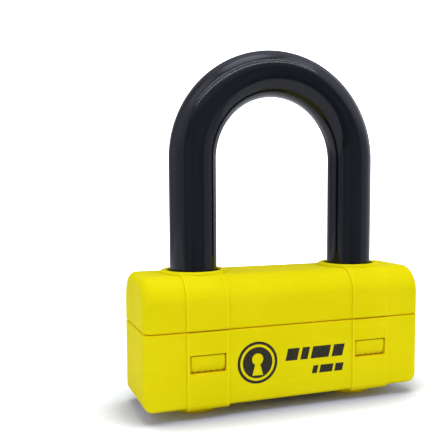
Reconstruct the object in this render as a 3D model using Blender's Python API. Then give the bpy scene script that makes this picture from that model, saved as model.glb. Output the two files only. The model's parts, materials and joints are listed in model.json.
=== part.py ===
"""A compact U lock for a motorcycle or bicycle, modelled as its separate pieces.

A hardened steel shackle in a vinyl sleeve drops into a crossbar. The crossbar is a steel casing inside
two plastic covers that snap together. Inside the casing, a disc cylinder that takes its key from below
turns a cam, and the cam drives a bolt into the notch of each shackle leg. The pieces are placed with the
bolts drawn back and the shackle fully home.

Metres, +Z up. The origin is the middle of the two feet's bottom faces, X runs from leg to leg, and the
front of the crossbar faces -Y.
"""

import math

import bmesh
import bpy
from mathutils import Matrix, Vector

# ---------------------------------------------------------------- driving dimensions
BAR_RADIUS = 0.009          # steel bar of the shackle
SLEEVE_RADIUS = 0.010       # outside of the shackle's sleeve
LEG_SPACING = 0.075         # between the two legs' centre lines
LEG_STRAIGHT = 0.0466       # from the crossbar's rim to where the loop begins to bend

COVER_LENGTH = 0.1268
COVER_DEPTH = 0.0416
COVER_HEIGHT = 0.0532       # lower cover's bottom face to upper cover's top face
LOWER_HEIGHT = 0.0315       # height of the parting line above the lower cover's bottom face
FOOT_HEIGHT = 0.0055        # feet under the lower cover
FOOT_RADIUS = 0.0104
COVER_WALL = 0.0036
BAND_HALF_WIDTH = 0.0089    # raised band round the crossbar at each leg
BAND_RISE = 0.0005
BAND_RISE_BELOW = 0.0009    # on the lower cover's bottom face
RIM_RISE = 0.0013           # raised rim round each leg

BOLT_TRAVEL = 0.0046
CORE_TURN = math.radians(90)
DISC_COUNT = 9

GAP = 0.0003                # between pieces that touch
LOOSE_GAP = 0.0004          # between the casing and its covers
CUT_PAST = 0.001            # how far a cutting tool reaches past the piece it cuts

# ---------------------------------------------------------------- heights and places that follow
COVER_BOTTOM = FOOT_HEIGHT
COVER_TOP = COVER_BOTTOM + COVER_HEIGHT
RIM_TOP = COVER_TOP + RIM_RISE
SEAM = COVER_BOTTOM + LOWER_HEIGHT
LOOP_CENTRE = RIM_TOP + LEG_STRAIGHT
LEG_X = LEG_SPACING / 2
HALF_LENGTH = COVER_LENGTH / 2
HALF_DEPTH = COVER_DEPTH / 2

COVER_TOP_RADIUS = 0.010                   # long edges of the top face
COVER_TOP_END_RADII = (0.0036, 0.0042)     # its edges at the left and right ends
COVER_CORNER_RADIUS = 0.0042               # upright edges
COVER_LOW_RADIUS = 0.0014                  # long edges of the bottom face
COVER_LOW_END_RADII = (0.0028, 0.0055)     # its edges at the left and right ends
SEAM_RADIUS = 0.0008
SEAM_GAP = 0.0003
FOOT_EDGE = 0.0006
FOOT_WELL_RADIUS = 0.0066
RIM_HOLE_RADIUS = 0.0112
RIM_BASE_RADIUS = 0.0142
RIM_TOP_RADIUS = 0.0125

CAVITY_BOTTOM = COVER_BOTTOM + 0.0026
CAVITY_TOP = COVER_TOP - 0.0030
CAVITY_RADIUS = COVER_TOP_RADIUS - COVER_WALL
CAVITY_CORNER = 0.0010

CASING_BOTTOM = CAVITY_BOTTOM + GAP
CASING_TOP = CAVITY_TOP - LOOSE_GAP
CASING_HALF_LENGTH = HALF_LENGTH - COVER_WALL - LOOSE_GAP
CASING_HALF_DEPTH = HALF_DEPTH - COVER_WALL - LOOSE_GAP
CASING_FLOOR = CASING_BOTTOM + 0.0045      # inside of the casing's bottom wall
CASING_CEILING = CASING_TOP - 0.0050       # inside of its top wall
CASING_CHANNEL_HALF = 0.013
LEG_HOLE_RADIUS = BAR_RADIUS + 0.0004
KEY_HOLE_RADIUS = 0.0054

TONGUE_HALF_WIDTH = 0.0073
TONGUE_THICKNESS = 0.0016
TONGUE_FACE = HALF_DEPTH - COVER_WALL + 0.0001   # inner face of a snap tongue
BARB_FACE = HALF_DEPTH + BAND_RISE - 0.0004      # outer face of a tongue's barb
BARB_SLOPE = 0.0010                              # how far the barb's face falls back at its lower edge
WINDOW_HALF_WIDTH = TONGUE_HALF_WIDTH + GAP
WINDOW_BOTTOM = COVER_BOTTOM + 0.0144
WINDOW_TOP = COVER_BOTTOM + 0.0219
POCKET_HALF_WIDTH = TONGUE_HALF_WIDTH + 0.00045
POCKET_DEPTH = 0.0019                            # pocket in the lower cover's wall for a tongue

CARRIER_HALF_LENGTH = 0.0278
CARRIER_HALF_DEPTH = CASING_CHANNEL_HALF - GAP
CARRIER_BOTTOM = CASING_FLOOR + GAP
LID_TOP = CASING_CEILING - GAP
LID_THICKNESS = 0.0021
LID_BOTTOM = LID_TOP - LID_THICKNESS
CARRIER_TOP = LID_BOTTOM - GAP

SCREW_X = 0.0225
SCREW_Y = 0.0099
SCREW_RADIUS = 0.0013
SCREW_HOLE_RADIUS = 0.0017
SCREW_HEAD_RADIUS = 0.0023
SCREW_HEAD_HEIGHT = 0.0012
SCREW_TIP = CARRIER_TOP - 0.009

HOUSING_RADIUS = 0.011
HOUSING_BOTTOM = CARRIER_BOTTOM
HOUSING_TOP = HOUSING_BOTTOM + 0.0239
CORE_RADIUS = 0.008
CORE_BORE_RADIUS = 0.0068
CORE_HEAD_RADIUS = 0.0092
CORE_BOTTOM = HOUSING_BOTTOM + 0.0002
CORE_HEAD_TOP = CORE_BOTTOM + 0.0015
CORE_FACE_THICKNESS = 0.0021
CORE_TOP = HOUSING_TOP + 0.0019
CLIP_BOTTOM = HOUSING_TOP + GAP
CLIP_INNER = 0.0076
CLIP_OUTER = 0.0096
CLIP_THICKNESS = 0.0008
KEYWAY_RADIUS = 0.0042
LUG_INNER = 0.0050                               # lugs that key the cam to the core
LUG_HALF_WIDTH = 0.0012
LUG_DEPTH = 0.0016

PIN_RADIUS = 0.0014                              # cross pin beside the cylinder
PIN_START = -CARRIER_HALF_LENGTH + 0.0006
PIN_LENGTH = 0.0380
PIN_Y = -HOUSING_RADIUS + 0.0004
PIN_Z = HOUSING_BOTTOM + 0.0185

DISC_RADIUS = 0.0066
DISC_THICKNESS = 0.0019
DISC_PITCH = 0.0023
DISC_STACK_BOTTOM = CORE_BOTTOM + CORE_FACE_THICKNESS + GAP
DISC_STACK_TOP = DISC_STACK_BOTTOM + DISC_PITCH * (DISC_COUNT - 1) + DISC_THICKNESS
DISC_CODE_STEP = math.radians(15)
DISC_CODES = (0, 3, 1, 4, 2, 5, 1, 3, 2)               # steps that each disc's keyhole stands turned by

SIDEBAR_HALF_WIDTH = 0.00095
SIDEBAR_INNER = 0.0057
SIDEBAR_OUTER = 0.0079

CAM_BOTTOM = CORE_TOP + GAP
CAM_THICKNESS = 0.0016
CAM_RADIUS = 0.0086
CAM_PIN_RADIUS = 0.0013
CAM_PIN_CIRCLE = BOLT_TRAVEL / (2 * math.sin(CORE_TURN / 2))
CHANNEL_FLOOR = CAM_BOTTOM + CAM_THICKNESS
BOLT_BOTTOM = CHANNEL_FLOOR + GAP
BOLT_TOP = CARRIER_TOP - GAP
BOLT_HALF_WIDTH = 0.0068
BOLT_TIP = LEG_X - BAR_RADIUS - 0.0005           # tip of a drawn-back bolt

NOTCH_DEPTH = BOLT_TRAVEL + 0.0003
NOTCH_CLEARANCE = 0.0007

FRAME_FLANGE_BOTTOM = COVER_BOTTOM + 0.0014
SHUTTER_TRAVEL = 0.0124
SHUTTER_HALF_LENGTH = 0.0068
SHUTTER_PLATE_HALF_WIDTH = 0.0068
SHUTTER_PAD_HALF_WIDTH = 0.0053
FRAME_HOLE_RADIUS = 0.0052

ROUND = 40                                       # sides of a round piece
SMALL_ROUND = 20                                 # sides of a pin or screw
LOOP_STEPS = 20                                  # stretches round the shackle's loop


# ---------------------------------------------------------------- helpers
def clear_scene():
    for obj in list(bpy.data.objects):
        bpy.data.objects.remove(obj, do_unlink=True)


def make_material(name, colour, roughness, metallic=0.0):
    material = bpy.data.materials.new(name)
    material.use_nodes = True
    shader = material.node_tree.nodes["Principled BSDF"]
    shader.inputs["Base Color"].default_value = (*colour, 1.0)
    shader.inputs["Roughness"].default_value = roughness
    shader.inputs["Metallic"].default_value = metallic
    return material


def add_object(name, mesh_data, material=None, location=(0, 0, 0)):
    """Turns a bmesh into an object whose faces point out and whose round stretches are shaded smooth."""
    bmesh.ops.recalc_face_normals(mesh_data, faces=mesh_data.faces)
    mesh = bpy.data.meshes.new(name)
    mesh_data.to_mesh(mesh)
    mesh_data.free()
    mesh.shade_smooth()
    mesh.set_sharp_from_angle(angle=math.radians(35))
    obj = bpy.data.objects.new(name, mesh)
    bpy.context.scene.collection.objects.link(obj)
    obj.location = location
    if material:
        mesh.materials.append(material)
    return obj


def combine(target, tool, operation):
    """Cuts a tool out of the target, or joins it on. The tool stays in the scene as a hidden guide."""
    tool.hide_render = True
    tool.display_type = "WIRE"
    modifier = target.modifiers.new(f"{operation.lower()}_{tool.name}", "BOOLEAN")
    modifier.operation = operation
    modifier.solver = "EXACT"
    modifier.object = tool


def cut(target, *tools):
    for tool in tools:
        combine(target, tool, "DIFFERENCE")


def join(target, *tools):
    for tool in tools:
        combine(target, tool, "UNION")


def strip_between(mesh_data, ring_a, ring_b):
    """Quads, or triangles to a single point, between two rings of the same winding."""
    count = max(len(ring_a), len(ring_b))
    for i in range(count):
        j = (i + 1) % count
        corners = [ring_a[k % len(ring_a)] for k in (i, j)] + [ring_b[k % len(ring_b)] for k in (j, i)]
        distinct = list(dict.fromkeys(corners))
        if len(distinct) > 2:
            mesh_data.faces.new(distinct)


def loft(rings, closed=False):
    """A solid through rings of points. A closed loft joins its last ring to its first and has no caps."""
    mesh_data = bmesh.new()
    loops = [[mesh_data.verts.new(point) for point in ring] for ring in rings]
    for ring_a, ring_b in zip(loops, loops[1:]):
        strip_between(mesh_data, ring_a, ring_b)
    if closed:
        strip_between(mesh_data, loops[-1], loops[0])
        return mesh_data
    for loop in (loops[0], loops[-1]):
        if len(loop) > 2:
            mesh_data.faces.new(loop)
    return mesh_data


def circle(radius, height, sides=ROUND, turn=0.0):
    """Points round the Z axis, or the one point on it where the radius is nothing."""
    if radius == 0:
        return [(0, 0, height)]
    angles = [turn + 2 * math.pi * i / sides for i in range(sides)]
    return [(radius * math.cos(a), radius * math.sin(a), height) for a in angles]


def turned(profile, sides=ROUND, hollow=False):
    """A turned piece from (radius, height) points. A hollow one's profile runs round its whole section."""
    return loft([circle(radius, height, sides) for radius, height in profile], closed=hollow)


def cylinder(radius, low, high, sides=ROUND):
    return turned([(0, low), (radius, low), (radius, high), (0, high)], sides)


def prism(outline, low, high):
    """An (x, y) outline extruded from one height to another."""
    return loft([[(x, y, z) for x, y in outline] for z in (low, high)])


def block(low, high):
    """A box between two corners."""
    (x0, y0, z0), (x1, y1, z1) = low, high
    return prism([(x0, y0), (x1, y0), (x1, y1), (x0, y1)], z0, z1)


def arc(centre, radius, start, end, steps):
    """(x, y) points along an arc, its ends included. Angles are in degrees."""
    angles = [math.radians(start + (end - start) * i / steps) for i in range(steps + 1)]
    return [(centre[0] + radius * math.cos(a), centre[1] + radius * math.sin(a)) for a in angles]


def rounded_rectangle(x0, x1, y0, y1, radius, steps=4):
    left, right = x0 + radius, x1 - radius
    low, high = y0 + radius, y1 - radius
    outline = []
    for centre, start in (((right, high), 0), ((left, high), 90), ((left, low), 180), ((right, low), 270)):
        outline += arc(centre, radius, start, start + 90, steps)
    return outline


def lay_along_x(mesh_data):
    """Turns a piece built round Z so that it lies round X."""
    quarter_turn = Matrix.Rotation(math.pi / 2, 3, "Y")
    bmesh.ops.rotate(mesh_data, verts=mesh_data.verts, cent=(0, 0, 0), matrix=quarter_turn)
    return mesh_data


def mirrored_across_y(outline):
    """The same (y, z) outline on the other side of the crossbar."""
    return [(-y, z) for y, z in outline]


def along_x(outline, x0, x1):
    """A (y, z) outline extruded along X."""
    return loft([[(x, y, z) for y, z in outline] for x in (x0, x1)])


# ---------------------------------------------------------------- crossbar shells
def section_points(half_depth, low, high, low_radius, high_radius, low_steps, high_steps):
    """Half of a crossbar section: (y, z, normal y, normal z) from the bottom face up to the top face."""
    points = []
    for centre_z, radius, start, steps in (
        (low + low_radius, low_radius, -90, low_steps),
        (high - high_radius, high_radius, 0, high_steps),
    ):
        for i in range(steps + 1):
            angle = math.radians(start + 90 * i / steps)
            normal = (math.cos(angle), math.sin(angle))
            y = half_depth - radius + radius * normal[0]
            points.append((y, centre_z + radius * normal[1], *normal))
    return points


def end_inset(x, half_length, radii):
    """How far a rounded end has drawn in at x. radii are the left and the right end's."""
    radius = radii[x > 0]
    past = abs(x) - (half_length - radius)
    if past <= 0:
        return 0.0
    return radius - math.sqrt(max(radius**2 - past**2, 0.0))


def end_stations(half_length, radius, steps):
    """Places along X that follow a rounded end."""
    return [half_length - radius + radius * math.sin(math.pi / 2 * i / steps) for i in range(steps + 1)]


def crossbar_shell(half_length, half_depth, low, high, radii, steps, bands=False):
    """A rounded block along X. radii holds the section's low and high edges, the vertical corners, and
    pairs for the left and right ends' low edges and high edges. Bands, where asked for, swell the section
    at each leg."""
    low_radius, high_radius, corner_radius, low_ends, high_ends = radii
    low_steps, high_steps, end_steps = steps
    reach = max(*low_ends, *high_ends, corner_radius)
    half = [(x, 0.0) for x in end_stations(half_length, reach, end_steps)]
    if bands:
        edge = BAND_RISE
        half += [
            (LEG_X - BAND_HALF_WIDTH - edge, 0.0),
            (LEG_X - BAND_HALF_WIDTH, 1.0),
            (LEG_X + BAND_HALF_WIDTH, 1.0),
            (LEG_X + BAND_HALF_WIDTH + edge, 0.0),
        ]
    half.sort()
    stations = [(-x, swell) for x, swell in reversed(half)] + half
    rings = []
    for x, swell in stations:
        side = section_points(
            half_depth - end_inset(x, half_length, (corner_radius,) * 2),
            low + end_inset(x, half_length, low_ends),
            high - end_inset(x, half_length, high_ends),
            low_radius,
            high_radius,
            low_steps,
            high_steps,
        )
        right = []
        for y, z, normal_y, normal_z in side:
            rise = BAND_RISE if normal_z > 0 else BAND_RISE_BELOW
            swollen = keep_parting_face(z + swell * normal_z * rise, low, high) if swell else z
            right.append((x, y + swell * BAND_RISE * normal_y, swollen))
        rings.append(right + [(x, -y, z) for _, y, z in reversed(right)])
    return loft(rings)


def keep_parting_face(z, low, high):
    """Holds a swollen point on the parting face, which stays flat where a band crosses it."""
    if low >= SEAM:
        return max(z, low)
    return min(z, high)


def make_upper_cover(material):
    """Upper cover: a rounded cap with a rim round each leg and four snap tongues that hang from its walls."""
    low = SEAM + SEAM_GAP / 2
    radii = (SEAM_RADIUS, COVER_TOP_RADIUS, COVER_CORNER_RADIUS, (SEAM_RADIUS,) * 2, COVER_TOP_END_RADII)
    cover = add_object(
        "upper_cover",
        crossbar_shell(HALF_LENGTH, HALF_DEPTH, low, COVER_TOP, radii, (2, 7, 7), bands=True),
        material,
    )
    cavity_radii = (0.0005, CAVITY_RADIUS, CAVITY_CORNER, (0.0005,) * 2, (CAVITY_RADIUS,) * 2)
    length, depth = HALF_LENGTH - COVER_WALL, HALF_DEPTH - COVER_WALL
    cavity = crossbar_shell(length, depth, SEAM - 0.004, CAVITY_TOP, cavity_radii, (1, 5, 5))
    cut(cover, add_object("cavity_of_upper_cover", cavity))
    for side in (-1, 1):
        root = COVER_TOP - 0.0012
        rim = [(0, root), (RIM_BASE_RADIUS, root), (RIM_BASE_RADIUS, COVER_TOP), (RIM_TOP_RADIUS, RIM_TOP)]
        rim.append((0, RIM_TOP))
        join(cover, add_object(f"rim_{side}", turned(rim), location=(side * LEG_X, 0, 0)))
    for side_x in (-1, 1):
        for side_y in (-1, 1):
            place = (side_x * LEG_X, 0, 0)
            join(cover, add_object(f"tongue_{side_x}_{side_y}", snap_tongue(side_y), location=place))
    for side in (-1, 1):
        mouth = 0.0005
        low = CAVITY_TOP - CUT_PAST
        hole = [(0, low), (RIM_HOLE_RADIUS, low), (RIM_HOLE_RADIUS, RIM_TOP - mouth)]
        hole += [(RIM_HOLE_RADIUS + 2 * mouth, RIM_TOP + mouth), (0, RIM_TOP + mouth)]
        cut(cover, add_object(f"leg_hole_{side}", turned(hole), location=(side * LEG_X, 0, 0)))
    return cover


def snap_tongue(side_y):
    """A tongue that reaches down inside the lower cover, with a barb that fills its window."""
    ledge = WINDOW_TOP - GAP
    tip = WINDOW_BOTTOM + 0.0009
    outer = TONGUE_FACE + TONGUE_THICKNESS
    root = SEAM + 0.0012
    outline = [
        (TONGUE_FACE, tip - 0.0006),
        (outer - 0.0004, tip - 0.0006),
        (outer + 0.0006, tip),
        (BARB_FACE - BARB_SLOPE, tip + 0.0003),
        (BARB_FACE, ledge - 0.0004),
        (BARB_FACE - 0.0003, ledge),
        (outer, ledge),
        (outer, root),
        (TONGUE_FACE, root),
    ]
    if side_y < 0:
        outline = mirrored_across_y(outline)
    return along_x(outline, -TONGUE_HALF_WIDTH, TONGUE_HALF_WIDTH)


def make_lower_cover(material):
    """Lower cover: a tray with a foot under each leg, windows for the barbs and a seat for the frame."""
    high = SEAM - SEAM_GAP / 2
    radii = (COVER_LOW_RADIUS, SEAM_RADIUS, COVER_CORNER_RADIUS, COVER_LOW_END_RADII, (SEAM_RADIUS,) * 2)
    cover = add_object(
        "lower_cover",
        crossbar_shell(HALF_LENGTH, HALF_DEPTH, COVER_BOTTOM, high, radii, (3, 2, 7), bands=True),
        material,
    )
    for side in (-1, 1):
        root = COVER_BOTTOM + 0.0015
        foot = [(0, 0), (FOOT_RADIUS - FOOT_EDGE, 0), (FOOT_RADIUS - FOOT_EDGE / 4, FOOT_EDGE / 4)]
        foot += [(FOOT_RADIUS, FOOT_EDGE), (FOOT_RADIUS, root), (0, root)]
        join(cover, add_object(f"foot_{side}", turned(foot), location=(side * LEG_X, 0, 0)))
    cavity_radii = (0.0012, 0.0005, CAVITY_CORNER, (0.0028,) * 2, (0.0005,) * 2)
    length, depth = HALF_LENGTH - COVER_WALL, HALF_DEPTH - COVER_WALL
    cavity = crossbar_shell(length, depth, CAVITY_BOTTOM, SEAM + 0.004, cavity_radii, (2, 1, 5))
    cut(cover, add_object("cavity_of_lower_cover", cavity))
    for side_x in (-1, 1):
        for side_y in (-1, 1):
            place = (side_x * LEG_X, 0, 0)
            for kind, tool in (("pocket", tongue_pocket(side_y)), ("window", barb_window(side_y))):
                cut(cover, add_object(f"{kind}_{side_x}_{side_y}", tool, location=place))
    for side in (-1, 1):
        well = [(0, 0.0019), (FOOT_WELL_RADIUS - 0.0006, 0.0019), (FOOT_WELL_RADIUS, 0.0025)]
        well += [(FOOT_WELL_RADIUS, CAVITY_BOTTOM + CUT_PAST), (0, CAVITY_BOTTOM + CUT_PAST)]
        cut(cover, add_object(f"well_{side}", turned(well), location=(side * LEG_X, 0, 0)))
    spigot, flange = frame_outlines(GAP)
    seat_low = prism(spigot, COVER_BOTTOM - CUT_PAST, FRAME_FLANGE_BOTTOM + 0.0005)
    seat_high = prism(flange, FRAME_FLANGE_BOTTOM - GAP, CAVITY_BOTTOM + CUT_PAST)
    cut(cover, add_object("frame_seat_low", seat_low), add_object("frame_seat_high", seat_high))
    return cover


def wall_tool(y0, y1, z0, z1, half_width, side_y):
    """A box through the front or back wall, from y0 out to y1."""
    low_y, high_y = sorted((side_y * y0, side_y * y1))
    return block((-half_width, low_y, z0), (half_width, high_y, z1))


def tongue_pocket(side_y):
    inner = HALF_DEPTH - COVER_WALL
    low = WINDOW_BOTTOM - 0.0008
    return wall_tool(inner - CUT_PAST, inner + POCKET_DEPTH, low, SEAM + CUT_PAST, POCKET_HALF_WIDTH, side_y)


def barb_window(side_y):
    inner = HALF_DEPTH - COVER_WALL + POCKET_DEPTH - CUT_PAST
    outer = HALF_DEPTH + BAND_RISE + CUT_PAST
    return wall_tool(inner, outer, WINDOW_BOTTOM, WINDOW_TOP, WINDOW_HALF_WIDTH, side_y)


# ---------------------------------------------------------------- keyhole frame and shutter
def frame_outlines(growth=0.0):
    """(x, y) outlines of the keyhole frame's spigot and of its flange, grown by a clearance."""
    x0 = -SHUTTER_HALF_LENGTH - 0.0032
    x1 = SHUTTER_HALF_LENGTH + SHUTTER_TRAVEL + 0.0032
    half = 0.0090
    outlines = []
    for step, corner in ((0, 0.0025), (0.0020, 0.0030)):
        out = step + growth
        outlines.append(rounded_rectangle(x0 - out, x1 + out, -half - out, half + out, corner + growth))
    return outlines


def make_keyhole_frame(material):
    """Black frame in the lower cover's floor, held up by its flange. It guides the shutter."""
    spigot, flange = frame_outlines()
    frame_top = CAVITY_BOTTOM
    frame = add_object("keyhole_frame", prism(flange, FRAME_FLANGE_BOTTOM, frame_top), material)
    root = prism(spigot, COVER_BOTTOM + 0.0001, FRAME_FLANGE_BOTTOM + 0.0004)
    join(frame, add_object("frame_spigot", root))
    x0 = -SHUTTER_HALF_LENGTH - GAP
    x1 = SHUTTER_HALF_LENGTH + SHUTTER_TRAVEL + GAP
    plate_y = SHUTTER_PLATE_HALF_WIDTH + GAP
    pad_y = SHUTTER_PAD_HALF_WIDTH + GAP
    groove = block((x0, -plate_y, COVER_BOTTOM + 0.0007), (x1, plate_y, COVER_BOTTOM + 0.0017))
    mouth = block((x0, -pad_y, COVER_BOTTOM - CUT_PAST), (x1, pad_y, COVER_BOTTOM + 0.0010))
    hole = cylinder(FRAME_HOLE_RADIUS, COVER_BOTTOM + 0.0012, frame_top + CUT_PAST)
    for name, tool in (("shutter_groove", groove), ("shutter_mouth", mouth), ("frame_hole", hole)):
        cut(frame, add_object(name, tool))
    return frame


def make_keyhole_shutter(material):
    """Dust shutter that slides along X off the keyhole, with thumb ribs on its outside."""
    reach = SHUTTER_HALF_LENGTH
    plate_y = SHUTTER_PLATE_HALF_WIDTH
    pad_y = SHUTTER_PAD_HALF_WIDTH
    place = (0, 0, COVER_BOTTOM)
    plate = block((-reach, -plate_y, 0.00085), (reach, plate_y, 0.00150))
    pad = block((-reach, -pad_y, 0.0001), (reach, pad_y, 0.0011))
    shutter = add_object("keyhole_shutter", plate, material, location=place)
    join(shutter, add_object("shutter_pad", pad, location=place))
    rib_y = pad_y - 0.0009
    rib_outline = [(-rib_y, 0.0006), (0.0004 - rib_y, -0.0007), (rib_y - 0.0004, -0.0007), (rib_y, 0.0006)]
    rib_count = 4
    rib_pitch = 0.0028
    for i in range(rib_count):
        x = rib_pitch * (i - (rib_count - 1) / 2)
        rib = along_x(rib_outline, -0.0005, 0.0005)
        join(shutter, add_object(f"shutter_rib_{i}", rib, location=(x, 0, COVER_BOTTOM)))
    return shutter


# ---------------------------------------------------------------- steel casing
def make_casing(material):
    """Hardened casing: a rounded block with a channel along it, leg holes through it and a small key hole."""
    radii = (0.0014, CAVITY_RADIUS, 0.0015, (0.0030,) * 2, (CAVITY_RADIUS,) * 2)
    casing = add_object(
        "casing",
        crossbar_shell(CASING_HALF_LENGTH, CASING_HALF_DEPTH, CASING_BOTTOM, CASING_TOP, radii, (2, 5, 5)),
        material,
    )
    half = CASING_CHANNEL_HALF
    channel = rounded_rectangle(-half, half, CASING_FLOOR, CASING_CEILING, 0.0010, 2)
    past = CASING_HALF_LENGTH + CUT_PAST
    cut(casing, add_object("casing_channel", along_x(channel, -past, past)))
    for side in (-1, 1):
        hole = cylinder(LEG_HOLE_RADIUS, CASING_BOTTOM - CUT_PAST, CASING_TOP + CUT_PAST)
        cut(casing, add_object(f"casing_leg_hole_{side}", hole, location=(side * LEG_X, 0, 0)))
    key_hole = cylinder(KEY_HOLE_RADIUS, CASING_BOTTOM - CUT_PAST, CASING_FLOOR + CUT_PAST)
    cut(casing, add_object("casing_key_hole", key_hole))
    return casing


def make_end_plates(material):
    """A thick steel plate pressed into each end of the casing's channel."""
    half = CASING_CHANNEL_HALF - GAP
    outline = rounded_rectangle(-half, half, CASING_FLOOR + GAP, CASING_CEILING - GAP, 0.0012, 2)
    inner = LEG_X + BAR_RADIUS + 0.0030
    outer = CASING_HALF_LENGTH - 0.0026
    for name, side in (("left_end_plate", -1), ("right_end_plate", 1)):
        middle = side * (inner + outer) / 2
        reach = (outer - inner) / 2
        add_object(name, along_x(outline, -reach, reach), material, location=(middle, 0, 0))


# ---------------------------------------------------------------- shackle
def swept_along_loop(stations, sides=24):
    """Rings round the shackle's centre line. Each station is (place along the line, radius)."""
    rings = []
    for (x, z, tangent), radius in stations:
        across = Vector((-math.sin(tangent), 0, math.cos(tangent)))
        centre = Vector((x, 0, z))
        ring = []
        for i in range(sides):
            angle = 2 * math.pi * i / sides
            ring.append(centre + radius * (math.cos(angle) * across + math.sin(angle) * Vector((0, 1, 0))))
        rings.append(ring)
    return rings


def loop_line(bottom, bend_steps, extra_heights=()):
    """(x, z, direction) along the centre line: up the left leg, round the loop and down the right leg."""
    up = math.pi / 2
    heights = [bottom, *extra_heights]
    line = [(-LEG_X, z, up) for z in heights]
    for i in range(bend_steps + 1):
        angle = math.pi * i / bend_steps
        line.append((-LEG_X * math.cos(angle), LOOP_CENTRE + LEG_X * math.sin(angle), up - angle))
    line += [(LEG_X, z, -up) for z in reversed(heights)]
    return line


def make_shackle(material):
    """Hardened steel U with turned-down feet and a notch for its bolt on the inner side of each leg."""
    foot_radius = 0.0061
    feet = [(0.0023, foot_radius - 0.0012), (0.0035, foot_radius), (0.0092, foot_radius)]
    feet.append((0.0118, BAR_RADIUS))
    heights = [z for z, _ in feet]
    line = loop_line(heights[0], LOOP_STEPS, heights[1:])
    foot_radii = [r for _, r in feet]
    radii = foot_radii + [BAR_RADIUS] * (len(line) - 2 * len(feet)) + foot_radii[::-1]
    shackle = add_object("shackle", loft(swept_along_loop(list(zip(line, radii)))), material)
    low = BOLT_BOTTOM - NOTCH_CLEARANCE
    high = BOLT_TOP + NOTCH_CLEARANCE
    wide = BAR_RADIUS + CUT_PAST
    for side in (-1, 1):
        inner = LEG_X - BAR_RADIUS
        x0, x1 = sorted((side * (inner - CUT_PAST), side * (inner + NOTCH_DEPTH)))
        cut(shackle, add_object(f"notch_{side}", block((x0, -wide, low), (x1, wide, high))))
    return shackle


def make_sleeve(material):
    """Vinyl sleeve over the bar, from just above the casing on one leg to the same height on the other."""
    bottom = CASING_TOP + LOOSE_GAP
    line = loop_line(bottom, LOOP_STEPS, (RIM_TOP,))
    outer = swept_along_loop([(place, SLEEVE_RADIUS) for place in line])
    inner = swept_along_loop([(place, BAR_RADIUS + 0.0002) for place in line])
    return add_object("shackle_sleeve", loft(outer + inner[::-1], closed=True), material)


# ---------------------------------------------------------------- mechanism
def screw_places():
    return [(side_x * SCREW_X, side_y * SCREW_Y) for side_x in (-1, 1) for side_y in (-1, 1)]


def make_carrier(material):
    """Zinc block between the legs. It holds the cylinder from below and the cam and bolts from above."""
    length, depth = CARRIER_HALF_LENGTH, CARRIER_HALF_DEPTH
    body = block((-length, -depth, CARRIER_BOTTOM), (length, depth, CARRIER_TOP))
    carrier = add_object("bolt_carrier", body, material)
    seat = HOUSING_RADIUS + GAP
    cam_pocket = CORE_HEAD_RADIUS + 0.0009
    seat_low = CARRIER_BOTTOM - CUT_PAST
    seat_top = HOUSING_TOP + GAP
    pocket_top = CHANNEL_FLOOR + CUT_PAST
    bore = [(0, seat_low), (seat, seat_low), (seat, seat_top)]
    bore += [(cam_pocket, seat_top), (cam_pocket, pocket_top), (0, pocket_top)]
    past = CARRIER_HALF_LENGTH + CUT_PAST
    wide = BOLT_HALF_WIDTH + GAP
    channel = block((-past, -wide, CHANNEL_FLOOR), (past, wide, CARRIER_TOP + CUT_PAST))
    cut(carrier, add_object("cylinder_bore", turned(bore)), add_object("bolt_channel", channel))
    for i, (x, y) in enumerate(screw_places()):
        hole = cylinder(SCREW_HOLE_RADIUS, SCREW_TIP - 0.0005, CARRIER_TOP + CUT_PAST, SMALL_ROUND)
        cut(carrier, add_object(f"screw_hole_{i}", hole, location=(x, y, 0)))
    before = 0.004
    pin_hole = lay_along_x(cylinder(PIN_RADIUS + GAP, 0, before + PIN_LENGTH + 0.003, SMALL_ROUND))
    cut(carrier, add_object("pin_hole", pin_hole, location=(PIN_START - before, PIN_Y, PIN_Z)))
    return carrier


def make_lid(material, screw_material):
    """Steel lid over the bolts, held by four countersunk screws."""
    length, depth = CARRIER_HALF_LENGTH, CARRIER_HALF_DEPTH
    lid = add_object("carrier_lid", block((-length, -depth, LID_BOTTOM), (length, depth, LID_TOP)), material)
    head_bottom = LID_TOP - SCREW_HEAD_HEIGHT
    head_top = LID_TOP - 0.0001
    sink = SCREW_HEAD_RADIUS + 0.0004
    low, high = LID_BOTTOM - CUT_PAST, LID_TOP + CUT_PAST
    clear = [(0, low), (SCREW_HOLE_RADIUS, low), (SCREW_HOLE_RADIUS, head_bottom - GAP)]
    clear += [(sink, LID_TOP - GAP), (sink, high), (0, high)]
    body = [(0, SCREW_TIP), (SCREW_RADIUS - 0.0005, SCREW_TIP), (SCREW_RADIUS, SCREW_TIP + 0.0008)]
    body += [(SCREW_RADIUS, head_bottom), (SCREW_HEAD_RADIUS, head_top - 0.0002)]
    body += [(SCREW_HEAD_RADIUS, head_top), (0, head_top)]
    for i, (x, y) in enumerate(screw_places()):
        place = (x, y, 0)
        cut(lid, add_object(f"lid_hole_{i}", turned(clear, SMALL_ROUND), location=place))
        screw = add_object(f"lid_screw_{i + 1}", turned(body, SMALL_ROUND), screw_material, location=place)
        drive = block((-0.0014, -0.00035, LID_TOP - 0.0007), (0.0014, 0.00035, high))
        cut(screw, add_object(f"screw_slot_{i}", drive, location=place))


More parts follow.
